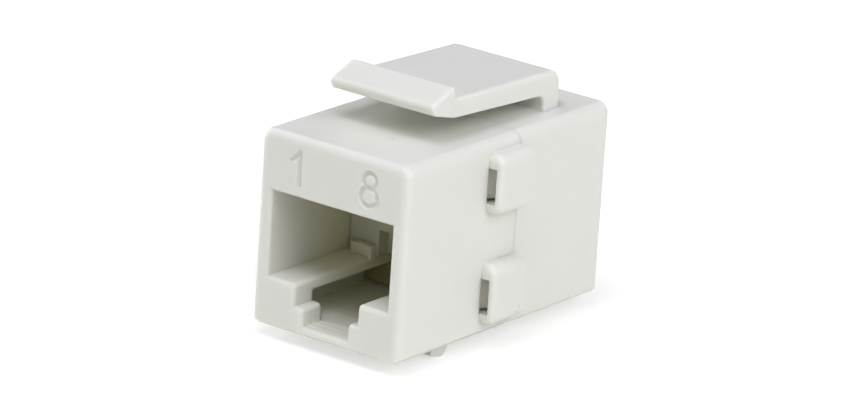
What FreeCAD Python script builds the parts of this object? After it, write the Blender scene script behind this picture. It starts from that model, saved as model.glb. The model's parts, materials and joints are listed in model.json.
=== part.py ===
import FreeCAD, Part
import math
import os

# Inline coupler for a wall-plate cut-out: two eight-way sockets back to back in a two-part snap housing.
# Millimetres. X runs across, +Y from the front socket to the rear one, +Z up.
# The origin lies under the middle of the part, level with the underside of the lug.

# The plug that each socket takes, and the slot for its spring tab
plug_width = 11.7
plug_height = 6.86
plug_clearance = 0.1
tab_slot_wide = 6.3
tab_slot_narrow = 4.5

# Housing
body_length = 26.6
body_height = 16.05
side_wall = 1.35
top_wall = 1.15
floor_wall = 0.7
face_wall = 2.4
ledge_height = 4.0
ledge_thickness = 0.9
tab_step_height = 2.15
stop_height = 0.9
stop_thickness = 0.7
stop_gap = 0.8
rear_rise = 0.1
parting_offset = 1.15
parting_gap = 0.02
parting_bevel = 0.12
top_edge_radius = 1.0
bottom_edge_bevel = 0.22
face_edge_radius = 0.75
mouth_edge_radius = 0.4
mouth_corner_radius = 0.35

# Lug under the front half
lug_drop = 1.15
lug_width = 12.5
lug_length = 1.97
lug_from_face = 5.86
lug_slope = 14.5
lug_heel_radius = 0.75

# Snap loops on the front half and fingers on the rear half
hood_proud = 1.3
hood_wall = 0.5
hood_height = 5.05
hood_length = 4.05
hood_margin = 0.95
hood_corner_radius = 0.9
hood_front_radius = 0.35
window_height = 2.95
window_sill = 0.9
catch_bar = 1.2
finger_thickness = 0.75
finger_tip_gap = 0.45
finger_clearance = 0.1
finger_edge_gap = 0.2
barb_proud = 0.7
barb_land = 0.45
barb_tip = 0.25

# Latch arm on the rear half
latch_width = 10.24
post_from_middle = 8.075
post_thickness = 2.15
arm_rear_height = 3.03
arm_front_height = 3.38
arm_rear_gap = 1.2
arm_front_gap = 1.81
latch_reach = 12.925
catch_height = 1.02
catch_land = 0.15
ramp_length = 2.85
nose_height = 3.28
nose_gap = 2.45
nose_lean = 0.4
elbow_radius = 1.25
crook_radius = 0.9
nose_radius = 0.2
latch_edge_bevel = 0.12
latch_travel = 7.0
hinge_radius = 0.6
hinge_clearance = 0.03

# Board between the two sockets
board_thickness = 1.2
board_clearance = 0.1
peg_diameter = 1.2
peg_from_middle = 4.6
peg_height = 3.2

# Contact carriers
carrier_depth = 2.2
carrier_side_clearance = 0.1
fit_clearance = 0.05
recess_width = 5.9
recess_height = 2.15
comb_depth = 1.2
comb_margin = 0.35
rib_height = 0.45
sled_edge = 0.6

# Contact springs
contact_count = 8
contact_pitch = 1.016
contact_width = 0.46
contact_thickness = 0.35
contact_clearance = 0.08
bend_radius = 0.75
bend_room = 1.0
run_below_ceiling = 1.5
tip_height = 4.5
tip_travel = 2.0
tip_overlap = 0.65
tail_row_gap = 1.6
tail_stub = 0.4

# Two places closer together than this count as one
touch = 1e-4

# Places that follow from the sizes above
vector = FreeCAD.Vector
across = vector(1, 0, 0)
along = vector(0, 1, 0)
upward = vector(0, 0, 1)
cavity_half = plug_width / 2 + plug_clearance
body_half = cavity_half + side_wall
face_y = -body_length / 2
inner_face_y = face_y + face_wall
board_face_y = -board_thickness / 2
carrier_back_y = board_face_y - fit_clearance
carrier_front_y = carrier_back_y - carrier_depth
riser_y = carrier_back_y - tail_stub - contact_clearance
stop_back_y = carrier_front_y - fit_clearance
stop_front_y = stop_back_y - stop_thickness
hood_front_y = parting_offset - hood_length
bar_front_y = parting_offset - catch_bar
underside_z = lug_drop
floor_z = underside_z + floor_wall
insert_floor_z = floor_z + rear_rise
step_z = underside_z + tab_step_height
ledge_z = underside_z + ledge_height
mouth_top_z = ledge_z + plug_height + 2 * plug_clearance
top_z = underside_z + body_height
ceiling_z = top_z - top_wall
run_z = ceiling_z - run_below_ceiling
low_row_z = run_z - tail_row_gap
tip_z = ledge_z + tip_height
bend_y = inner_face_y + bend_room + contact_thickness / 2 + bend_radius
bend_z = run_z - bend_radius
tip_y = carrier_front_y + tip_overlap
slot_half = contact_width / 2 + contact_clearance
tail_bend_radius = contact_thickness / 2
finger_outer_x = body_half - finger_clearance / 2
finger_inner_x = finger_outer_x - finger_thickness
hood_bottoms = (underside_z + hood_margin, top_z - hood_margin - hood_height)


def block(x_range, y_range, z_range):
    """Rectangular solid between two limits on each axis."""
    low = vector(x_range[0], y_range[0], z_range[0])
    size = vector(x_range[1], y_range[1], z_range[1]) - low
    return Part.makeBox(size.x, size.y, size.z, low)


def rounded_loop(points, radii):
    """Closed wire through the corner points, each corner rounded by a tangent arc of its own radius."""
    starts = []
    middles = []
    ends = []
    for index, corner in enumerate(points):
        back = (points[index - 1] - corner).normalize()
        ahead = (points[(index + 1) % len(points)] - corner).normalize()
        half_angle = back.getAngle(ahead) / 2
        reach = radii[index] / math.tan(half_angle)
        inward = (back + ahead).normalize()
        starts.append(corner + back * reach)
        middles.append(corner + inward * (radii[index] / math.sin(half_angle) - radii[index]))
        ends.append(corner + ahead * reach)
    edges = []
    for index, radius in enumerate(radii):
        if radius > 0:
            edges.append(Part.Arc(starts[index], middles[index], ends[index]).toShape())
        following = starts[(index + 1) % len(points)]
        if ends[index].distanceToPoint(following) > touch:
            edges.append(Part.LineSegment(ends[index], following).toShape())
    return Part.Wire(edges)


def prism(points, radii, direction):
    """Solid made by carrying a rounded outline along a direction."""
    return Part.Face(rounded_loop(points, radii)).extrude(direction)


def edges_where(shape, keep):
    """Edges whose bounding box passes the test."""
    return [edge for edge in shape.Edges if keep(edge.BoundBox)]


def half_turn(shape):
    """The same shape turned half round about the vertical through the middle."""
    turned = shape.copy()
    turned.rotate(vector(0, 0, 0), upward, 180)
    return turned


def mirrored(shape):
    """The same shape on the other side of the middle."""
    return shape.mirror(vector(0, 0, 0), across)


def mouth_solid(start_y, end_y, mouth_floor_z):
    """The stepped socket opening: plug room above, tab slot below in two widths."""
    wide = tab_slot_wide / 2
    narrow = tab_slot_narrow / 2
    right = [(cavity_half, mouth_top_z), (cavity_half, ledge_z), (wide, ledge_z), (wide, step_z),
             (narrow, step_z), (narrow, mouth_floor_z)]
    left = [(-x, z) for x, z in reversed(right)]
    points = [vector(x, start_y, z) for x, z in right + left]
    round_corners = [0, 0, mouth_corner_radius, 0, mouth_corner_radius, 0]
    return prism(points, round_corners + round_corners[::-1], along * (end_y - start_y))


def half_shell(parting_y, shell_underside_z):
    """One housing half, facing -Y: rounded shell, stepped mouth, ledges under the carrier and its stops."""
    outline = [vector(-body_half, face_y, shell_underside_z), vector(body_half, face_y, shell_underside_z),
               vector(body_half, face_y, top_z), vector(-body_half, face_y, top_z)]
    shell = prism(outline, [0, 0, top_edge_radius, top_edge_radius], along * (parting_y - face_y))
    face_rim = edges_where(shell, lambda box: box.YMax < face_y + touch
                           and box.ZMax > shell_underside_z + touch)
    shell = shell.makeFillet(face_edge_radius, face_rim)
    base_rim = edges_where(shell, lambda box: box.ZMax < shell_underside_z + touch
                           and box.YMin < parting_y - touch)
    shell = shell.makeChamfer(bottom_edge_bevel, base_rim)
    parting_rim = edges_where(shell, lambda box: box.YMin > parting_y - touch)
    shell = shell.makeChamfer(parting_bevel, parting_rim)
    shell_floor_z = shell_underside_z + floor_wall
    cavity = block((-cavity_half, cavity_half), (inner_face_y, parting_y), (shell_floor_z, ceiling_z))
    shell = shell.cut(cavity)
    ledge_inner = tab_slot_wide / 2
    ledge_under_z = ledge_z - ledge_thickness
    ledge_corners = [(ledge_inner, ledge_under_z), (cavity_half, ledge_under_z),
                     (cavity_half, ledge_z), (ledge_inner, ledge_z)]
    ledge_back_y = min(parting_y, board_face_y - board_clearance)
    ledge = prism([vector(x, inner_face_y, z) for x, z in ledge_corners], [0, 0, 0, mouth_corner_radius],
                  along * (ledge_back_y - inner_face_y))
    stop = block((ledge_inner, cavity_half - stop_gap), (stop_front_y, stop_back_y),
                 (ledge_under_z, ledge_z + stop_height))
    shell = shell.fuse([ledge, stop, mirrored(ledge), mirrored(stop)])
    shell = shell.cut(mouth_solid(face_y, inner_face_y, shell_floor_z)).removeSplitter()
    lip = edges_where(shell, lambda box: box.YMax < face_y + touch
                      and max(-box.XMin, box.XMax) < cavity_half + touch
                      and shell_floor_z - touch < box.ZMin and box.ZMax < mouth_top_z + touch)
    return shell.makeFillet(mouth_edge_radius, lip)


def snap_hood(bottom_z):
    """One snap loop on the right side: rounded outer wall, still without its pocket."""
    outer_x = body_half + hood_proud
    root_x = body_half - side_wall / 2
    outline = [vector(root_x, hood_front_y, bottom_z), vector(outer_x, hood_front_y, bottom_z),
               vector(outer_x, hood_front_y, bottom_z + hood_height),
               vector(root_x, hood_front_y, bottom_z + hood_height)]
    hood = prism(outline, [0, hood_corner_radius, hood_corner_radius, 0], along * hood_length)
    rim = edges_where(hood, lambda box: box.YMax < hood_front_y + touch and box.XMax > root_x + touch)
    return hood.makeFillet(hood_front_radius, rim)


def snap_pocket(bottom_z):
    """The room inside a loop, open to the front, and a slot in the side wall up to the parting line."""
    heights = (bottom_z + window_sill, bottom_z + window_sill + window_height)
    wide_x = body_half + hood_proud - hood_wall
    slot_x = body_half + finger_clearance / 2
    wide = block((cavity_half, wide_x), (hood_front_y, bar_front_y), heights)
    slot = block((cavity_half, slot_x), (hood_front_y, parting_offset), heights)
    return wide.fuse(slot)


def snap_finger(bottom_z):
    """One finger of the rear half on the right side, with a barb that stands in front of the loop's bar."""
    low_z = bottom_z + window_sill + finger_edge_gap
    tip_front_y = hood_front_y + finger_tip_gap
    barb_back_y = bar_front_y - finger_clearance
    barb_x = finger_outer_x + barb_proud
    root_y = parting_offset + 2 * parting_gap + side_wall
    outline = [(finger_inner_x, root_y), (finger_inner_x, tip_front_y),
               (finger_inner_x + barb_tip, tip_front_y), (barb_x, barb_back_y - barb_land),
               (barb_x, barb_back_y), (finger_outer_x, barb_back_y), (finger_outer_x, root_y)]
    points = [vector(x, y, low_z) for x, y in outline]
    return prism(points, [0] * len(points), upward * (window_height - 2 * finger_edge_gap))


def lug():
    """The fixed catch under the front half: a ramp that runs down to a rounded heel."""
    front_y = face_y + lug_from_face
    rear_y = front_y + lug_length
    slope = math.radians(lug_slope)
    heel_z = lug_heel_radius * (1 - 1 / math.tan((math.pi / 2 - slope) / 2))
    toe_z = heel_z + lug_length * math.tan(slope)
    root_z = underside_z + floor_wall / 2
    corners = [(front_y, toe_z), (rear_y, heel_z), (rear_y, root_z), (front_y, root_z)]
    points = [vector(-lug_width / 2, y, z) for y, z in corners]
    return prism(points, [0, lug_heel_radius, 0, 0], across * lug_width)


def front_housing():
    """Front half: shell, lug and the four snap loops."""
    shell = half_shell(parting_offset, underside_z)
    shell = shell.fuse(lug())
    for bottom_z in hood_bottoms:
        hood = snap_hood(bottom_z)
        pocket = snap_pocket(bottom_z)
        shell = shell.fuse([hood, mirrored(hood)]).cut([pocket, mirrored(pocket)])
    return shell.removeSplitter()


def hinge_groove():
    """Half-round seat in the rear half's top for the foot of the latch post."""
    radius = hinge_radius + hinge_clearance
    length = latch_width + 2 * hinge_clearance
    return Part.makeCylinder(radius, length, vector(-length / 2, post_from_middle, top_z), across)


def rear_housing():
    """Rear half: shell turned to face +Y, four snap fingers and the seat of the latch post."""
    shell = half_turn(half_shell(-(parting_offset + parting_gap), underside_z + rear_rise))
    for bottom_z in hood_bottoms:
        finger = snap_finger(bottom_z)
        shell = shell.fuse([finger, mirrored(finger)])
    return shell.cut(hinge_groove()).removeSplitter()


def latch():
    """Sprung arm: post on a round foot, tapered arm, catch step, ramp and nose."""
    rear_y = post_from_middle + post_thickness / 2
    front_y = post_from_middle - post_thickness / 2
    front_lift = math.tan(math.radians(latch_travel)) * post_thickness / 2 + hinge_clearance
    catch_y = post_from_middle - latch_reach
    ridge_y = catch_y - catch_land
    ridge_height = arm_front_height + catch_height
    nose_y = ridge_y - ramp_length
    corners = [(rear_y, hinge_clearance, 0), (rear_y, arm_rear_height, elbow_radius),
               (catch_y, arm_front_height, 0), (catch_y, ridge_height, 0), (ridge_y, ridge_height, 0),
               (nose_y, nose_height, nose_radius), (nose_y + nose_lean, nose_gap, nose_radius),
               (catch_y, arm_front_gap, crook_radius), (front_y, arm_rear_gap, crook_radius),
               (front_y, front_lift, 0), (post_from_middle, hinge_clearance, 0)]
    points = [vector(-latch_width / 2, y, top_z + height) for y, height, radius in corners]
    arm = prism(points, [radius for y, height, radius in corners], across * latch_width)
    flank = edges_where(arm, lambda box: box.XLength < touch and box.ZMax > top_z + front_lift + touch)
    arm = arm.makeChamfer(latch_edge_bevel, flank)
    foot_start = vector(-latch_width / 2, post_from_middle, top_z)
    foot = Part.makeCylinder(hinge_radius, latch_width, foot_start, across)
    return arm.fuse(foot).removeSplitter()


def contact_columns():
    """X of each contact, counted from the left of the front socket."""
    first = -contact_pitch * (contact_count - 1) / 2
    return [first + contact_pitch * index for index in range(contact_count)]


def carrier():
    """Front carrier: block on the ledges, comb for the spring tips, grooved sled over the plug room."""
    half = cavity_half - carrier_side_clearance
    columns = contact_columns()
    foot_z = ledge_z + fit_clearance
    body = block((-half, half), (carrier_front_y, carrier_back_y), (foot_z, ceiling_z - fit_clearance))
    sled_half = columns[-1] + contact_pitch / 2 + sled_edge
    nose_radius = bend_radius - contact_thickness / 2 - fit_clearance
    rib_top_z = run_z + contact_thickness / 2 + rib_height
    plate = block((-sled_half, sled_half), (bend_y, carrier_front_y), (bend_z - nose_radius, rib_top_z))
    nose = Part.makeCylinder(nose_radius, 2 * sled_half, vector(-sled_half, bend_y, bend_z), across)
    body = body.fuse([plate, nose])
    comb_bottom_z = tip_z - comb_margin - contact_thickness
    comb_back_y = carrier_front_y + comb_depth
    recess = block((-recess_width / 2, recess_width / 2), (carrier_front_y, comb_back_y),
                   (foot_z, foot_z + recess_height))
    cuts = [recess]
    groove_floor_z = bend_z + nose_radius
    rear_slot_y = riser_y - contact_thickness - contact_clearance
    for x in columns:
        sides = (x - slot_half, x + slot_half)
        cuts.append(block(sides, (bend_y, carrier_back_y), (groove_floor_z, ceiling_z)))
        cuts.append(block(sides, (rear_slot_y, carrier_back_y),
                          (low_row_z - contact_thickness / 2 - contact_clearance, ceiling_z)))
        cuts.append(block(sides, (carrier_front_y, comb_back_y), (comb_bottom_z, tip_z + tip_travel)))
    body = body.cut(cuts)
    peg_length = (board_thickness + fit_clearance) / 2
    for x in (-peg_from_middle, peg_from_middle):
        foot = vector(x, carrier_back_y, ledge_z + peg_height)
        body = body.fuse(Part.makeCylinder(peg_diameter / 2, peg_length, foot, along))
    return body.removeSplitter()


def strip_side(start, heading, moves, offset):
    """Edges of a bent strip's one side: runs and tangent arcs, shifted to the left by the offset."""
    turn = FreeCAD.Rotation(across, math.degrees(heading))
    point = start + turn.multVec(upward) * offset
    edges = []
    for kind, amount, radius in moves:
        ahead = FreeCAD.Rotation(across, math.degrees(heading)).multVec(along)
        left = FreeCAD.Rotation(across, math.degrees(heading)).multVec(upward)
        if kind == "run":
            following = point + ahead * amount
            edges.append(Part.LineSegment(point, following).toShape())
        else:
            side = math.copysign(1, amount)
            centre = point + left * (side * radius - offset)
            spoke = point - centre
            middle = centre + FreeCAD.Rotation(across, math.degrees(amount / 2)).multVec(spoke)
            following = centre + FreeCAD.Rotation(across, math.degrees(amount)).multVec(spoke)
            if spoke.Length > touch:
                edges.append(Part.Arc(point, middle, following).toShape())
            heading += amount
        point = following
    return edges, point


def contact(x, stepped):
    """Front contact spring: tail in the board, run over the sled, bend round its nose, sloping arm."""
    reach = vector(0, tip_y - bend_y, tip_z - bend_z)
    slope = math.atan2(reach.z, reach.y)
    leave = slope - math.acos(bend_radius / reach.Length)
    wrap = leave + 2 * math.pi - math.pi / 2
    arm = math.sqrt(reach.Length ** 2 - bend_radius ** 2)
    tail_end_y = board_thickness / 2 + tail_stub
    moves = [("turn", wrap, bend_radius), ("run", arm, 0)]
    if stepped:
        quarter = math.pi / 2
        moves = [("run", tail_end_y - riser_y, 0), ("turn", -quarter, tail_bend_radius),
                 ("run", tail_row_gap - 2 * tail_bend_radius, 0), ("turn", quarter, tail_bend_radius),
                 ("run", riser_y - 2 * tail_bend_radius - bend_y, 0)] + moves
        start = vector(x - contact_width / 2, tail_end_y, low_row_z)
    else:
        moves = [("run", tail_end_y - bend_y, 0)] + moves
        start = vector(x - contact_width / 2, tail_end_y, run_z)
    upper, upper_end = strip_side(start, math.pi, moves, -contact_thickness / 2)
    lower, lower_end = strip_side(start, math.pi, moves, contact_thickness / 2)
    tail_cap = Part.LineSegment(lower[0].Vertexes[0].Point, upper[0].Vertexes[0].Point).toShape()
    tip_cap = Part.LineSegment(upper_end, lower_end).toShape()
    outline = Part.Wire(Part.__sortEdges__(upper + lower + [tail_cap, tip_cap]))
    return Part.Face(outline).extrude(across * contact_width)


def circuit_board():
    """Upright board with a hole for every contact tail and two for the carriers' pegs."""
    half = cavity_half - board_clearance
    board = block((-half, half), (-board_thickness / 2, board_thickness / 2),
                  (insert_floor_z + board_clearance, ceiling_z - board_clearance))
    hole_radius = math.hypot(contact_width, contact_thickness) / 2 + contact_clearance / 2
    places = [(x, z, hole_radius) for x in contact_columns() for z in (run_z, low_row_z)]
    peg_hole_radius = peg_diameter / 2 + fit_clearance
    places += [(x, ledge_z + peg_height, peg_hole_radius) for x in (-peg_from_middle, peg_from_middle)]
    holes = [Part.makeCylinder(radius, board_thickness, vector(x, -board_thickness / 2, z), along)
             for x, z, radius in places]
    return board.cut(holes)


pieces = {"front_housing": front_housing(), "rear_housing": rear_housing(), "latch": latch(),
          "circuit_board": circuit_board(), "front_contact_carrier": carrier(),
          "rear_contact_carrier": half_turn(carrier())}
for number, column_x in enumerate(contact_columns(), start=1):
    spring = contact(column_x, stepped=number % 2 == 0)
    pieces[f"front_contact_{number}"] = spring
    pieces[f"rear_contact_{number}"] = half_turn(spring)

os.makedirs("parts", exist_ok=True)
for name, shape in pieces.items():
    shape.exportStep(f"parts/{name}.step")
    print(f"{name}: {len(shape.Solids)} solid, {shape.Volume:.2f} mm3, valid {shape.isValid()}")
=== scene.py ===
import json
import bmesh
import bpy
import numpy as np
from mathutils import Matrix, Vector


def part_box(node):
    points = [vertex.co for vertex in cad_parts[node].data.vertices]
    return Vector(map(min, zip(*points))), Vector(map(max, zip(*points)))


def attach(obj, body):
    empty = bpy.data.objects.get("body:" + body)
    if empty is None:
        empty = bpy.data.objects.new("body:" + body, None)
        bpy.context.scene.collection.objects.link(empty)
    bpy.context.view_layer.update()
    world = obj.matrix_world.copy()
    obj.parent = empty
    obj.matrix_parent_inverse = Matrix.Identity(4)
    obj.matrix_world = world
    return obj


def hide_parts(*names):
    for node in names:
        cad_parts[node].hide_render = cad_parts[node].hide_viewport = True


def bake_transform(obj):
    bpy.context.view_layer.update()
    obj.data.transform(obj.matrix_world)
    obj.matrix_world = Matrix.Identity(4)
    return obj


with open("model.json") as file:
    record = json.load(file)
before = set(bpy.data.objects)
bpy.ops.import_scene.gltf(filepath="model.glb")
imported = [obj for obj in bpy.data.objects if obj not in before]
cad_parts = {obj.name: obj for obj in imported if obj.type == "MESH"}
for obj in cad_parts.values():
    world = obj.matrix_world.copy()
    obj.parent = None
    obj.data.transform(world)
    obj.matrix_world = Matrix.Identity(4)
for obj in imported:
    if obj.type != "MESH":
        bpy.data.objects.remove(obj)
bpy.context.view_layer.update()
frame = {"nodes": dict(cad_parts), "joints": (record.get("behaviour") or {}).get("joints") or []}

# Circuit board
# Upright glass-fibre board between the two sockets: bare straw-coloured laminate over a woven core, drilled.
# The carriers' pegs locate it, and the two housing halves trap it.
laminate_colours = ((0.34, 0.31, 0.13, 1), (0.44, 0.40, 0.19, 1))
laminate_roughness = (0.3, 0.45)
lacquer = 0.3
blotch_size = 0.003
weave_pitch = 0.0006
weave_share = 0.4
weave_relief = 0.000008


class Signal:
    """One socket of a node tree. Arithmetic on it adds Math nodes, so 1 - mask works as it reads."""

    def __init__(self, tree, socket):
        self.tree = tree
        self.socket = socket

    def math(self, operation, *values):
        return self.tree.node("ShaderNodeMath", {"operation": operation}, dict(enumerate(values)))["Value"]

    def __add__(self, other):
        return self.math("ADD", self, other)

    def __sub__(self, other):
        return self.math("SUBTRACT", self, other)

    def __rsub__(self, other):
        return self.math("SUBTRACT", other, self)

    def __mul__(self, other):
        return self.math("MULTIPLY", self, other)

    __radd__ = __add__
    __rmul__ = __mul__

    def span(self, low, high):
        """Goes from low to high as the signal goes from 0 to 1."""
        return self * (high - low) + low


class Tree:
    """Nodes of a material or the world. node() adds one: its settings, then its sockets' values or links."""

    def __init__(self, owner):
        owner.use_nodes = True
        self.nodes = owner.node_tree.nodes
        self.links = owner.node_tree.links

    def node(self, kind, settings, sockets):
        made = self.nodes.new(kind)
        for name, value in settings.items():
            setattr(made, name, value)
        live = [socket for socket in made.inputs if socket.enabled]
        for name, value in sockets.items():
            wanted = live[name] if isinstance(name, int) else next(s for s in live if s.name == name)
            self.feed(wanted, value)
        return {socket.name: Signal(self, socket) for socket in made.outputs if socket.enabled}

    def feed(self, socket, value):
        if isinstance(value, Signal):
            self.links.new(value.socket, socket)
        else:
            socket.default_value = value


class Finish(Tree):
    """A material in the making, with its pattern and surface helpers."""

    def __init__(self, name):
        self.material = bpy.data.materials.new(name)
        super().__init__(self.material)
        self.shader = self.nodes["Principled BSDF"]
        self.place = self.node("ShaderNodeTexCoord", {}, {})["Object"]

    def axes(self):
        """The three coordinates of a point, by name."""
        return self.node("ShaderNodeSeparateXYZ", {}, {"Vector": self.place})

    def drawn_out(self, scale):
        """Coordinates for a pattern that is drawn out along each axis by one over the scale."""
        return self.node("ShaderNodeMapping", {}, {"Vector": self.place, "Scale": scale})["Vector"]

    def noise(self, feature, octaves, place=None):
        """Soft random pattern, from 0 to 1, with blobs about one feature across."""
        return self.node("ShaderNodeTexNoise", {}, {"Vector": place or self.place, "Scale": 1 / feature,
                                                    "Detail": octaves})["Fac"]

    def step(self, value, low, high):
        """Eased step from 0 at low to 1 at high."""
        return self.node("ShaderNodeMapRange", {"interpolation_type": "SMOOTHSTEP"},
                         {"Value": value, "From Min": low, "From Max": high})["Result"]

    def mix(self, share, first, second):
        """Colour that goes from the first to the second as the share goes from 0 to 1."""
        return self.node("ShaderNodeMix", {"data_type": "RGBA"},
                         {"Factor": share, "A": first, "B": second})["Result"]

    def surface(self, colour, roughness, height, relief):
        """Colour, gloss and height over the surface, where a height of 1 stands out by the relief."""
        normal = self.node("ShaderNodeBump", {}, {"Height": height, "Distance": relief})["Normal"]
        self.feed(self.shader.inputs["Base Color"], colour)
        self.feed(self.shader.inputs["Roughness"], roughness)
        self.feed(self.shader.inputs["Normal"], normal)


def dress(node, finish):
    """Gives a solid of the frame its finish."""
    solid = frame["nodes"][node]
    solid.data.materials.clear()
    solid.data.materials.append(finish.material)


laminate = Finish("bare_laminate")
board_axes = laminate.axes()
turns = 2 * np.pi / weave_pitch
warp = board_axes["X"].math("SINE", board_axes["X"] * turns)
weft = board_axes["Z"].math("SINE", board_axes["Z"] * turns)
weave = warp * weft * 0.5 + 0.5
blotch = laminate.noise(blotch_size, octaves=3)
straw = laminate.mix(weave * weave_share + blotch * (1 - weave_share), *laminate_colours)
laminate.surface(straw, blotch.span(*laminate_roughness), weave, weave_relief)
laminate.shader.inputs["Coat Weight"].default_value = lacquer
dress("circuit_board", laminate)

# Contact carriers
# One block behind each socket, of glass-filled nylon, with a comb for the spring tips and a sled above.
# Each is pegged to the board and held by the stops in its housing half.
nylon_colours = ((0.56, 0.565, 0.43, 1), (0.62, 0.625, 0.48, 1))
nylon_roughness = (0.4, 0.6)
nylon_cloud = 0.004
fibre_length = 0.0012
fibre_width = 0.00012
fibre_share = 0.5
fibre_relief = 0.000006

nylon = Finish("glass_filled_nylon")
fibres = nylon.noise(fibre_width, octaves=2, place=nylon.drawn_out((1, fibre_width / fibre_length, 1)))
haze = nylon.noise(nylon_cloud, octaves=2)
ivory = nylon.mix(fibres * fibre_share + haze * (1 - fibre_share), *nylon_colours)
nylon.surface(ivory, fibres.span(*nylon_roughness), fibres, fibre_relief)
for end in ("front", "rear"):
    dress(f"{end}_contact_carrier", nylon)

# Contact springs
# Eight to a socket: strips of phosphor bronze, stamped, bent round the sled's nose and plated with gold.
# Their tails are soldered in two rows of the board, and the sloping arms ride in the comb.
contact_count = 8
gold_colours = ((0.72, 0.44, 0.13, 1), (0.88, 0.62, 0.25, 1))
gold_roughness = (0.2, 0.35)
tarnish_size = 0.0015
streak_length = 0.002
streak_width = 0.00005
streak_share = 0.3
streak_relief = 0.000002

gold = Finish("gold_plate")
streaks = gold.noise(streak_width, octaves=1, place=gold.drawn_out((1, streak_width / streak_length, 1)))
tarnish = gold.noise(tarnish_size, octaves=2)
plating = gold.mix(streaks * streak_share + tarnish * (1 - streak_share), *gold_colours)
gold.surface(plating, streaks.span(*gold_roughness), streaks, streak_relief)
gold.shader.inputs["Metallic"].default_value = 1.0
for end in ("front", "rear"):
    for number in range(1, contact_count + 1):
        dress(f"{end}_contact_{number}", gold)

# Front housing half
# Shell with the front socket's stepped mouth, four snap loops and the lug, moulded in white plastic.
# Plain pin numbers, 1 and 8, are engraved over the mouth. The skin has a speck of dirt and a small scar.
plastic_colours = ((0.735, 0.74, 0.655, 1), (0.76, 0.765, 0.685, 1))
plastic_roughness = 0.24
plastic_ior = 1.5
cloud_size = 0.006
cloud_share = 0.7
cloud_roughness = 0.08
grain_size = 0.0005
grain_roughness = 0.12
skin_relief = 0.000004
scatter_share = 0.5
scatter_depth = 0.0008
scatter_colour = (1.0, 1.0, 0.85)
# Painted shade: the walls deep inside either socket turn yellower, as their shade looks, coming in with
# depth.
socket_shade_colour = (0.74, 0.745, 0.585, 1)
inner_half = 0.0062
inner_floor = 0.0014
inner_roof = 0.0163
inner_blur = 0.00014
socket_shade_fade = (0.0015, 0.008)
# Painted light: lighter, warm streaks on the floor just inside either mouth, strongest near the mouth.
floor_light_colour = (0.96, 0.95, 0.80, 1)
floor_light_share = 0.8
floor_light_limits = (0.35, 0.7)
floor_light_length = 0.006
floor_light_width = 0.0004
floor_light_top = (0.0021, 0.002)
floor_light_fade = (0.0002, 0.001)
floor_light_reach = (0.008, 0.0032)
# Colour of the dirt speck and scar marks, and of the painted shade on the parting line.
dirt_and_shade_colour = (0.25, 0.24, 0.20, 1)
mark_core = 0.3
speck_share = 0.7
scar_share = 0.4
scar_width = 0.00006
scar_rise = 1.8
scar_end = 0.8
front_low, front_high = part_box("front_housing")


def speck(finish, place, radius):
    """Mask of a small round speck of dirt."""
    distance = finish.node("ShaderNodeVectorMath", {"operation": "DISTANCE"},
                           {0: finish.place, 1: place})["Value"]
    return finish.step(distance, radius, radius * mark_core) * speck_share


def hook_scar(finish, place, radius):
    """Mask of a scar on a flank that faces +X: the lower half of a circle, its rear end carried straight up.
    Its line lies where sqrt(y y + z z) is the radius, with z held at 0 above the centre."""
    rise = radius * scar_rise
    axes = finish.axes()
    along = axes["Y"] - place[1]
    up = axes["Z"] - place[2]
    low = up.math("MINIMUM", up, 0.0)
    off_line = low.math("ABSOLUTE", low.math("SQRT", along * along + low * low) - radius)
    line = finish.step(off_line, scar_width, scar_width * mark_core) * finish.step(up, rise, rise * scar_end)
    rear_or_low = low.math("MAXIMUM", finish.step(along, 0.0, scar_width), finish.step(up, scar_width, 0.0))
    outside = finish.step(axes["X"], place[0] - scar_width * 2, place[0] - scar_width)
    return line * rear_or_low * outside * scar_share


def socket_depth(finish):
    """How far a point lies behind the nearer of the two faces."""
    along = finish.axes()["Y"]
    return -front_low.y - along.math("ABSOLUTE", along)


def inside_socket(finish, fade):
    """Mask of the walls round the hollow of either socket. It comes in between the fade's two depths."""
    axes = finish.axes()
    sideways = axes["X"].math("ABSOLUTE", axes["X"])
    over_floor = finish.step(axes["Z"], inner_floor, inner_floor + inner_blur)
    under_roof = finish.step(axes["Z"], inner_roof, inner_roof - inner_blur)
    between = finish.step(sideways, inner_half, inner_half - inner_blur)
    return over_floor * under_roof * between * finish.step(socket_depth(finish), *fade)


def painted_floor_light(finish):
    """Mask of painted light: faint lighter streaks across the floor just inside either mouth, fading with
    depth.
    """
    drawn = finish.drawn_out((floor_light_width / floor_light_length, 1, 1))
    lines = finish.step(finish.noise(floor_light_width, octaves=3, place=drawn), *floor_light_limits)
    near_mouth = finish.step(socket_depth(finish), *floor_light_reach)
    near_floor = finish.step(finish.axes()["Z"], *floor_light_top)
    return lines * near_mouth * near_floor * inside_socket(finish, floor_light_fade)


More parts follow.
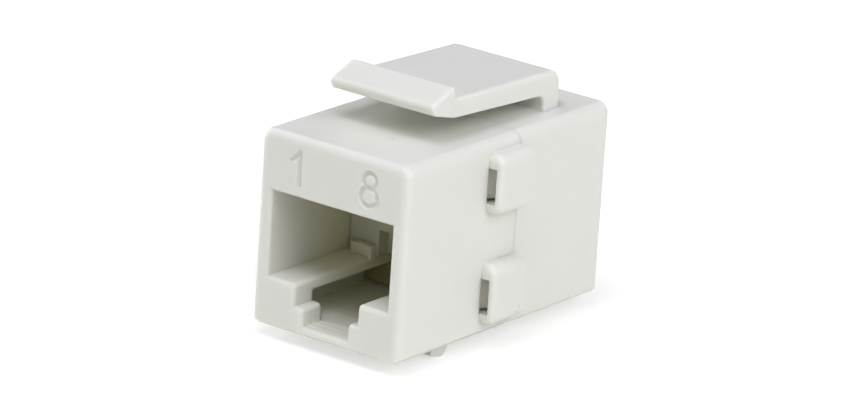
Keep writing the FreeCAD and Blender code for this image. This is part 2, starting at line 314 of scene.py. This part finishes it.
def white_plastic(name, marks):
    """Moulded white plastic: cloudy tone, with fine grain in gloss and height. Painted shade turns the walls
    deep inside the sockets yellower, and painted light lays lighter streaks across the floor just inside
    either mouth.
    Each mark is a mask, the place and the size that it takes, and the colour that it lays on: some marks are
    dirt, others are painted light and painted shade."""
    finish = Finish(name)
    cloud = finish.noise(cloud_size, octaves=2)
    grain = finish.noise(grain_size, octaves=3)
    colour = finish.mix(cloud * cloud_share + grain * (1 - cloud_share), *plastic_colours)
    # Painted shade: yellower walls deep inside the sockets.
    colour = finish.mix(inside_socket(finish, socket_shade_fade), colour, socket_shade_colour)
    # Painted light in streaks on the floor near either mouth.
    colour = finish.mix(painted_floor_light(finish) * floor_light_share, colour, floor_light_colour)
    for mask, place, size, tone in marks:
        colour = finish.mix(mask(finish, place, size), colour, tone)
    roughness = grain * grain_roughness + cloud * cloud_roughness + plastic_roughness
    finish.surface(colour, roughness, grain, skin_relief)
    finish.shader.inputs["IOR"].default_value = plastic_ior
    finish.shader.inputs["Subsurface Weight"].default_value = scatter_share
    finish.shader.inputs["Subsurface Scale"].default_value = scatter_depth
    finish.shader.inputs["Subsurface Radius"].default_value = scatter_colour
    return finish


# The shell's shape: wider rims on the base and the loops, a planed deck and the strokes of the numbers.
underside = 0.00115
base_rim = 0.00022
base_rims = (0.00038, base_rim)
face_round = 0.00075
deck_drop = 0.00003
planer_y = front_low.y * 1.1
deck_speck = (0.00172, -0.00817, front_high.z - deck_drop)
deck_speck_radius = 0.00012
flank_scar = (front_high.x, 0.00036, 0.00294)
flank_scar_radius = 0.00025
loop_proud = 0.0013
loop_length = 0.00405
loop_height = 0.00505
loop_margin = 0.00095
loop_round = 0.0009
loop_rim = 0.00035
loop_rims = (0.00048, 0.0007)
rim_slack = 1.02
touch = 0.00001
merge_distance = 1e-7
crease_angle = 25
digit_height = 0.0032
digit_foot = 0.013
stroke_radius = 0.00026
stroke_depth = 0.00021
stroke_bow_steps = 18
stroke_round_steps = 24
ring_steps = 48
one_shift = 0.08
flag_reach = (0.27, 0.23)
eight_rings = ((0.31, 0.25, 0.23), (0.73, 0.20, 0.19))
tool_y = front_low.y - stroke_radius + stroke_depth


def grid_faces(rows, columns, wrap_rows, wrap_columns):
    """Quads of a rows by columns grid of points, closed on itself where wrap says so."""
    row = np.arange(rows if wrap_rows else rows - 1)[:, None]
    column = np.arange(columns if wrap_columns else columns - 1)[None, :]
    next_row = (row + 1) % rows
    next_column = (column + 1) % columns
    quads = np.stack([row * columns + column, row * columns + next_column,
                      next_row * columns + next_column, next_row * columns + column], -1)
    return quads.reshape(-1, 4)


def bar_tool(start, end):
    """Round bar with ball ends: start + (end - start) t, plus radius (cos a, sin a) about that line.
    The ball ends are half circles, so t runs past both ends by the radius."""
    start = np.array(start)
    ahead = np.array(end) - start
    length = np.linalg.norm(ahead)
    ahead = ahead / length
    side = np.array((-ahead[1], ahead[0]))
    bow = np.linspace(-np.pi / 2, np.pi / 2, stroke_bow_steps)
    run = stroke_radius * np.sin(bow) + np.where(bow > 0, length, 0)
    reach = stroke_radius * np.cos(bow)
    angle = np.linspace(0, 2 * np.pi, stroke_round_steps, endpoint=False)
    flat = start + run[:, None, None] * ahead + reach[:, None, None] * np.cos(angle)[None, :, None] * side
    deep = tool_y + reach[:, None] * np.sin(angle)[None, :]
    points = np.stack([flat[..., 0], deep, flat[..., 1]], -1)
    return points, grid_faces(*points.shape[:2], False, True)


def ring_tool(centre, half_width, half_height):
    """Round bar bent to an ellipse: centre + (a cos t, b sin t), plus radius (cos p, sin p) across it."""
    turn = np.linspace(0, 2 * np.pi, ring_steps, endpoint=False)[:, None]
    around = np.linspace(0, 2 * np.pi, stroke_round_steps, endpoint=False)[None, :]
    outward = np.stack([half_height * np.cos(turn), half_width * np.sin(turn)], -1)
    outward = outward / np.linalg.norm(outward, axis=-1, keepdims=True)
    line = np.stack([centre[0] + half_width * np.cos(turn), centre[1] + half_height * np.sin(turn)], -1)
    flat = line + stroke_radius * np.cos(around)[..., None] * outward
    deep = np.broadcast_to(tool_y + stroke_radius * np.sin(around), flat.shape[:2])
    points = np.stack([flat[..., 0], deep, flat[..., 1]], -1)
    return points, grid_faces(*points.shape[:2], True, True)


def block_tool(low, high):
    """Block with square edges: the rectangle between two corners, carried up from one to the other."""
    across = np.array([low[0], high[0], high[0], low[0]])
    along = np.array([low[1], low[1], high[1], high[1]])
    points = np.stack([np.stack([across, along, np.full(4, height)], -1) for height in (low[2], high[2])])
    return points, grid_faces(*points.shape[:2], False, True)


def widen_rim(points, axes, middle, half, corner, level, old, new):
    """Widens the rounding where a flat end meets the flanks of a block with rounded corners. Seen from
    that end, n is the outline's normal and d the way in from it, and h is the height over the end's level.
    A point of the rim goes from (d, h) to k (d, h), where k is (n1 n1 new1 + n2 n2 new2) / old."""
    flat = points[:, axes[:2]] - middle
    reach = np.maximum(np.abs(flat) - half + corner, 0)
    length = np.linalg.norm(reach, axis=1, keepdims=True)
    normal = np.sign(flat) * reach / np.where(length > 0, length, 1)
    inward = corner - length
    height = points[:, axes[2:]] - level
    farther = np.maximum(np.abs(inward - old / 2), np.abs(height - old / 2))
    growth = np.where(farther < old / 2 * rim_slack, (normal ** 2 @ np.array(new))[:, None] / old - 1, 0)
    points[:, axes[:2]] -= normal * inward * growth
    points[:, axes[2:]] += height * growth
    return points


def new_piece(name, parts):
    """One object from several grids of points with their quads, joined where corners meet, faces outward."""
    mesh = bpy.data.meshes.new(name)
    counts = [points.shape[0] * points.shape[1] for points, quads in parts]
    starts = np.cumsum([0] + counts[:-1])
    points = np.concatenate([points.reshape(-1, 3) for points, quads in parts])
    quads = np.concatenate([part[1] + start for part, start in zip(parts, starts)])
    mesh.from_pydata(points.tolist(), [], quads.tolist())
    close_up(mesh)
    piece = bpy.data.objects.new(name, mesh)
    bpy.context.scene.collection.objects.link(piece)
    return piece


def close_up(mesh):
    """Joins corners that meet, fills open ends and turns every face outward."""
    work = bmesh.new()
    work.from_mesh(mesh)
    bmesh.ops.remove_doubles(work, verts=work.verts, dist=merge_distance)
    bmesh.ops.holes_fill(work, edges=work.edges)
    bmesh.ops.recalc_face_normals(work, faces=work.faces)
    work.to_mesh(mesh)
    work.free()


def soften(piece):
    """Smooth shading that breaks at creases and keeps flat faces flat."""
    piece.data.shade_smooth()
    piece.data.set_sharp_from_angle(angle=np.radians(crease_angle))
    weighting = piece.modifiers.new("flat_faces", "WEIGHTED_NORMAL")
    weighting.keep_sharp = True


def merged_copy(node):
    """Copy of a solid's mesh with its corners joined."""
    mesh = frame["nodes"][node].data.copy()
    mesh.attributes.remove(mesh.attributes["custom_normal"])
    close_up(mesh)
    return mesh


def carve(name, mesh, tools):
    """Shell from a mesh, less what the cutting tools take away."""
    cutter = new_piece("cutter", tools)
    shell = bpy.data.objects.new(name, mesh)
    bpy.context.scene.collection.objects.link(shell)
    cut = shell.modifiers.new("carve", "BOOLEAN")
    cut.operation = "DIFFERENCE"
    cut.solver = "EXACT"
    cut.use_self = True
    cut.object = cutter
    carved = bpy.data.meshes.new_from_object(shell.evaluated_get(bpy.context.evaluated_depsgraph_get()))
    shell.modifiers.clear()
    shell.data = carved
    bpy.data.objects.remove(cutter)
    soften(shell)
    return shell


def dress_shell(shell, finish, node):
    """Puts a white shell in the place of the solid that it was carved from."""
    shell.data.materials.clear()
    shell.data.materials.append(finish.material)
    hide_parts(node)
    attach(shell, "housing")


first_x, last_x = (sum(corner.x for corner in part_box(f"front_contact_{number}")) / 2
                   for number in (1, contact_count))
stem_x = first_x + digit_height * one_shift
one_top = (stem_x, digit_foot + digit_height - stroke_radius)
one_flag = (stem_x - digit_height * flag_reach[0], one_top[1] - digit_height * flag_reach[1])
digit_tools = [bar_tool((stem_x, digit_foot + stroke_radius), one_top), bar_tool(one_flag, one_top)]
for middle, half_width, half_height in eight_rings:
    ring_centre = (last_x, digit_foot + digit_height * middle)
    digit_tools.append(ring_tool(ring_centre, digit_height * half_width, digit_height * half_height))
planer = block_tool((-front_high.x, planer_y, front_high.z - deck_drop),
                    (front_high.x, -planer_y, front_high.z + deck_drop))
front_mesh = merged_copy("front_housing")
shell_points = np.array([corner.co for corner in front_mesh.vertices])
shell_points = widen_rim(shell_points, (0, 1, 2), (0, 0), (front_high.x - loop_proud, -front_low.y),
                         face_round, underside, base_rim, base_rims)
on_loops = np.abs(shell_points[:, 0]) > front_high.x - loop_proud - touch
for loop_low in (underside + loop_margin, front_high.z - loop_margin - loop_height):
    shell_points[on_loops] = widen_rim(
        shell_points[on_loops], (0, 2, 1), (0, loop_low + loop_height / 2), (front_high.x, loop_height / 2),
        loop_round, front_high.y - loop_length, loop_rim, loop_rims)
front_mesh.vertices.foreach_set("co", shell_points.ravel())
front_shell = carve("front_housing_shell", front_mesh, digit_tools + [planer])
front_marks = [(speck, deck_speck, deck_speck_radius, dirt_and_shade_colour),
               (hook_scar, flank_scar, flank_scar_radius, dirt_and_shade_colour)]
dress_shell(front_shell, white_plastic("white_plastic_front", front_marks), "front_housing")

# Rear housing half
# The same shell turned about, with the rear socket and four barbed fingers, in the same white plastic.
# The fingers snap into the front half's loops; painted light makes them lighter and yellower there.
# Painted shade darkens the parting line's upper corners.
# Painted light: the fingers, seen through the loops' windows, are lighter and yellower than the shell.
finger_light_colour = (0.92, 0.89, 0.74, 1)
finger_light_fade = 0.0001
# Painted shade: a darker band on the parting line's upper corners, dimming the highlight on its edge.
seam_shade_width = 0.00017
seam_shade_core = 0.7
seam_shade_drop = (0.002, 0.001)
seam_shade_from = (0.0052, 0.0064)
seam_shade_share = 0.22


def on_fingers(finish, place, fade):
    """Mask of the fingers: all of the rear half that stands in front of a plane across Y."""
    return finish.step(finish.axes()["Y"], place[1], place[1] - fade)


def painted_seam_shade(finish, place, width):
    """Mask of painted shade on the two upper corners of the parting line, a band behind a plane across Y,
    which dims the highlight there.
    """
    axes = finish.axes()
    behind = finish.step(axes["Y"], place[1] + width, place[1] + width * seam_shade_core)
    upper = finish.step(axes["Z"], place[2] - seam_shade_drop[0], place[2] - seam_shade_drop[1])
    corner = finish.step(axes["X"].math("ABSOLUTE", axes["X"]), *seam_shade_from)
    return behind * upper * corner * seam_shade_share


parting = (0, front_high.y, front_high.z)
# Painted light on the fingers, and painted shade on the parting line's upper corners.
rear_marks = [(on_fingers, parting, finger_light_fade, finger_light_colour),
              (painted_seam_shade, parting, seam_shade_width, dirt_and_shade_colour)]
rear_shell = carve("rear_housing_shell", merged_copy("rear_housing"), [planer])
dress_shell(rear_shell, white_plastic("white_plastic_rear", rear_marks), "rear_housing")

# Latch
# Sprung arm on a post, in one with the rear half and of its white plastic. It bends at the post's foot.
# The catch step and the nose hook behind the edge of a wall plate.
latch_low, latch_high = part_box("latch")
deck_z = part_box("rear_housing")[1].z
hinge_y = frame["joints"][0]["pos_m"][1]
post_rear_y = latch_high.y
post_front_y = hinge_y * 2 - post_rear_y
foot_depth = 0.00005
foot_sink = deck_drop + foot_depth
foot_zone = 0.0003
rear_flare = 0.00018
crook_flare = 0.0004
flare_end = 0.999
elbow_top = 0.00303
elbow_round = 0.00125
crook_top = 0.0012
crook_round = 0.0009
catch_y = -0.00485
catch_top = 0.00338
catch_foot = 0.00181
catch_round = 0.0001
belly_round = 0.0005
ridge_height = latch_high.z - deck_z
ridge_round = 0.0004
ridge_lift = 0.467
ridge_corner = ridge_height + ridge_round * ridge_lift
nose_round = 0.0004
lip_round = 0.0003
nose_top = (latch_low.y - 0.00019, 0.00327)
nose_foot = (latch_low.y + 0.00036, 0.00245)
nose_middle = ((nose_top[0] + nose_foot[0]) / 2, (nose_top[1] + nose_foot[1]) / 2)
outer_counts = (8, 1, 8, 18, 24, 4, 4, 8, 16, 6, 3)
inner_counts = (8, 1, 8, 18, 20, 4, 32, 6, 3)
outer_edges = ((0, 45e-5), (0.35, 45e-5), (0.59, 25e-5), (0.7, 38e-5), (0.86, 38e-5), (0.91, 28e-5),
               (1, 20e-5))
inner_edges = ((0, 30e-5), (0.27, 30e-5), (0.4, 14e-5), (0.9, 14e-5), (0.97, 18e-5), (1, 20e-5))
edge_steps = 6
flank_rows = 3
latch_speck = (0.00166, 0.00639, 0.02035)
latch_speck_radius = 0.0001


def rounded_path(corners, rounds, counts, side):
    """Straight runs joined by tangent arcs, with the normals to one side of the way along.
    A run is a + (b - a) t. An arc is centre - r n(a), where the normal n turns by the angle a.
    The counts are the numbers of points on each run and arc in turn."""
    corners = np.array(corners)
    ahead = np.diff(corners, axis=0)
    ahead = ahead / np.linalg.norm(ahead, axis=1, keepdims=True)
    left = np.stack([-ahead[:, 1], ahead[:, 0]], -1)
    turn = np.arctan2((left[:-1] * ahead[1:]).sum(1), (ahead[:-1] * ahead[1:]).sum(1))
    reach = np.array(rounds) * np.tan(np.abs(turn) / 2)
    starts = corners[:-1] + ahead * np.append(0, reach)[:, None]
    ends = corners[1:] - ahead * np.append(reach, 0)[:, None]
    points = []
    normals = []
    for index, count in enumerate(counts):
        piece = index // 2
        share = np.linspace(0, 1, count, endpoint=False)[:, None]
        if index % 2 == 0:
            points.append(starts[piece] + share * (ends[piece] - starts[piece]))
            normals.append(np.repeat(left[piece:piece + 1], count, 0))
        else:
            angle = share * turn[piece]
            normal = left[piece] * np.cos(angle) - ahead[piece] * np.sin(angle)
            swing = np.sign(turn[piece]) * rounds[piece]
            points.append(ends[piece] + swing * left[piece] - swing * normal)
            normals.append(normal)
    points.append(corners[-1:])
    normals.append(left[-1:])
    return np.concatenate(points), side * np.concatenate(normals)


def foot_flare(height, radius):
    """Spread of the post's foot, a quarter circle tangent to the deck, and its slope down the post.
    At a height z the spread is r - sqrt(r r - (r - z)(r - z))."""
    drop = np.clip(radius - height, 0, radius * flare_end)
    level = np.sqrt(radius ** 2 - drop ** 2)
    return radius - level, drop / level


def latch_skin():
    """Grid of stations along the arm by points round its section, a rectangle with rounded edges, and the
    grid's normals. An edge of radius r is (half width - r (1 - sin p), outline - r (1 - cos p) normal) for
    p from 0 to 90 degrees, and there the normal is (sin p, cos p normal). The flanks join the outer outline
    to the inner one. Both edge tables give the radius at shares of the way from the foot to the nose. The
    ridge's corner stands over the ridge by the lift times its rounding, which takes that off again."""
    outer, outer_normal = rounded_path(
        [(post_rear_y, -foot_sink), (post_rear_y, foot_zone), (post_rear_y, elbow_top), (catch_y, catch_top),
         (catch_y, ridge_corner), nose_top, nose_middle],
        [0, elbow_round, catch_round, ridge_round, nose_round], outer_counts, -1)
    inner, inner_normal = rounded_path(
        [(post_front_y, -foot_sink), (post_front_y, foot_zone), (post_front_y, crook_top),
         (catch_y, catch_foot), nose_foot, nose_middle],
        [0, crook_round, belly_round, lip_round], inner_counts, 1)
    station = np.linspace(0, 1, len(outer))
    outer_edge = np.interp(station, *np.transpose(outer_edges))
    inner_edge = np.interp(station, *np.transpose(inner_edges))
    quarter = np.linspace(0, np.pi / 2, edge_steps)
    across = np.linspace(0, 1, flank_rows + 2)[1:-1]
    bow = np.concatenate([quarter, np.full(flank_rows, np.pi / 2), quarter[::-1]])
    bow = np.tile(bow, 2)[None, :]
    share = np.concatenate([np.zeros(edge_steps), across, np.ones(edge_steps)])
    share = np.concatenate([share, share[::-1]])[None, :]
    hand = np.repeat([1, -1], bow.size // 2)[None, :]
    lines = []
    for outline, normal, edge, flare in ((outer, outer_normal, outer_edge, rear_flare),
                                         (inner, inner_normal, inner_edge, crook_flare)):
        spread = foot_flare(outline[:, 1:2] + deck_drop, flare)[0] - (1 - np.cos(bow)) * edge[:, None]
        lines.append(outline[:, None, :] + spread[..., None] * normal[:, None, :])
    flat = lines[0] + share[..., None] * (lines[1] - lines[0])
    edge = outer_edge[:, None] + share * (inner_edge - outer_edge)[:, None]
    spread, slope = foot_flare(flat[..., 1] + deck_drop, rear_flare + share * (crook_flare - rear_flare))
    x = hand * (latch_high.x + spread - edge * (1 - np.sin(bow)))
    points = np.stack([x, flat[..., 0], deck_z + flat[..., 1]], -1)
    facing = np.where(share[..., None] < 0.5, outer_normal[:, None, :], inner_normal[:, None, :])
    facing = facing * np.cos(bow)[..., None]
    sideways = np.broadcast_to(hand * np.sin(bow), slope.shape)
    normals = np.stack([sideways, facing[..., 0], facing[..., 1] + slope], -1)
    return points, normals / np.linalg.norm(normals, axis=-1, keepdims=True)


def keep_normals(mesh, points, normals):
    """Shades a mesh with the normals of the grid points that its corners came from."""
    corners = np.array([corner.co for corner in mesh.vertices])
    apart = np.square(corners[:, None] - points).sum(-1)
    mesh.shade_smooth()
    mesh.normals_split_custom_set_from_vertices(normals[apart.argmin(1)].tolist())


skin_points, skin_normals = latch_skin()
latch_arm = new_piece("latch_arm", [(skin_points, grid_faces(*skin_points.shape[:2], False, True))])
keep_normals(latch_arm.data, skin_points.reshape(-1, 3), skin_normals.reshape(-1, 3))
latch_marks = [(speck, latch_speck, latch_speck_radius, dirt_and_shade_colour)]
latch_arm.data.materials.append(white_plastic("white_plastic_latch", latch_marks).material)
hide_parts("latch")
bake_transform(latch_arm)

# Studio
# Plain pale table in a white tent, with soft disc lamps above it and all round, each slightly cool.
# The camera stands where the photograph was taken from.
table_half = 3.0
paper_colour = (0.92, 0.92, 0.84, 1)
paper_roughness = 0.9
table_glow = 1.2
near_glow = 0.5
shade_reach = (0.012, 0.06)
cool_white = (0.98, 0.98, 1.09)
surround = 0.05
lamps = [("front_lamp", (0.0, -0.25, 0.64), 1.8, 0.32), ("camera_lamp", (0.35, -0.45, 0.50), 1.2, 0.65),
         ("right_lamp", (0.56, 0.0, 0.42), 2.95, 0.65), ("left_lamp", (-0.60, -0.05, 0.25), 3.1, 0.65),
         ("rear_lamp", (0.0, 0.66, 0.08), 1.0, 0.65)]
aim = Vector((0, 0, 0.010))
camera_place = Vector((0.273894, -0.373935, 0.160770))
camera_right = Vector((0.79213, 0.60707, 0.06335))
camera_up = Vector((-0.23687, 0.21009, 0.94856))
camera_back = Vector((0.56253, -0.76638, 0.31021))
focal_pixels = 6152.34
picture_width = 854
sensor_width = 36
clip_range = (0.05, 10)

table_mesh = bpy.data.meshes.new("table")
table_corners = [(x * table_half, y * table_half, 0) for x, y in ((-1, -1), (1, -1), (1, 1), (-1, 1))]
table_mesh.from_pydata(table_corners, [], [(0, 1, 2, 3)])
table = bpy.data.objects.new("table", table_mesh)
bpy.context.scene.collection.objects.link(table)
paper = Finish("white_paper")
paper.shader.inputs["Base Color"].default_value = paper_colour
paper.shader.inputs["Roughness"].default_value = paper_roughness
glow = paper.node("ShaderNodeEmission", {}, {"Strength": table_glow})["Emission"]
seen = paper.node("ShaderNodeLightPath", {}, {})["Is Camera Ray"]
away = paper.node("ShaderNodeVectorMath", {"operation": "LENGTH"}, {0: paper.place})["Value"]
glow_share = seen * paper.step(away, *shade_reach).span(near_glow, 1)
sheet = Signal(paper, paper.shader.outputs["BSDF"])
lit = paper.node("ShaderNodeMixShader", {}, {0: glow_share, 1: sheet, 2: glow})["Shader"]
paper.feed(paper.nodes["Material Output"].inputs["Surface"], lit)
table_mesh.materials.append(paper.material)

for name, place, power, size in lamps:
    lamp = bpy.data.lights.new(name, "AREA")
    lamp.shape = "DISK"
    lamp.size = size
    lamp.energy = power
    lamp.color = cool_white
    holder = bpy.data.objects.new(name, lamp)
    holder.visible_camera = False
    holder.location = place
    holder.rotation_euler = (aim - Vector(place)).to_track_quat("-Z", "Y").to_euler()
    bpy.context.scene.collection.objects.link(holder)

world = bpy.data.worlds.new("surround")
bpy.context.scene.world = world
sky = Tree(world)
tent = sky.node("ShaderNodeBackground", {}, {"Color": (*cool_white, 1), "Strength": surround})["Background"]
backdrop = sky.node("ShaderNodeBackground", {}, {"Color": (1, 1, 1, 1)})["Background"]
in_view = sky.node("ShaderNodeLightPath", {}, {})["Is Camera Ray"]
around = sky.node("ShaderNodeMixShader", {}, {0: in_view, 1: tent, 2: backdrop})["Shader"]
sky.feed(sky.nodes["World Output"].inputs["Surface"], around)

camera_data = bpy.data.cameras.new("camera")
camera_data.sensor_width = sensor_width
camera_data.lens = focal_pixels / picture_width * sensor_width
camera_data.clip_start, camera_data.clip_end = clip_range
camera = bpy.data.objects.new("camera", camera_data)
turned = Matrix((camera_right, camera_up, camera_back)).transposed().to_4x4()
turned.translation = camera_place
camera.matrix_world = turned
bpy.context.scene.collection.objects.link(camera)
bpy.context.scene.camera = camera
bpy.context.scene.view_settings.view_transform = "Standard"
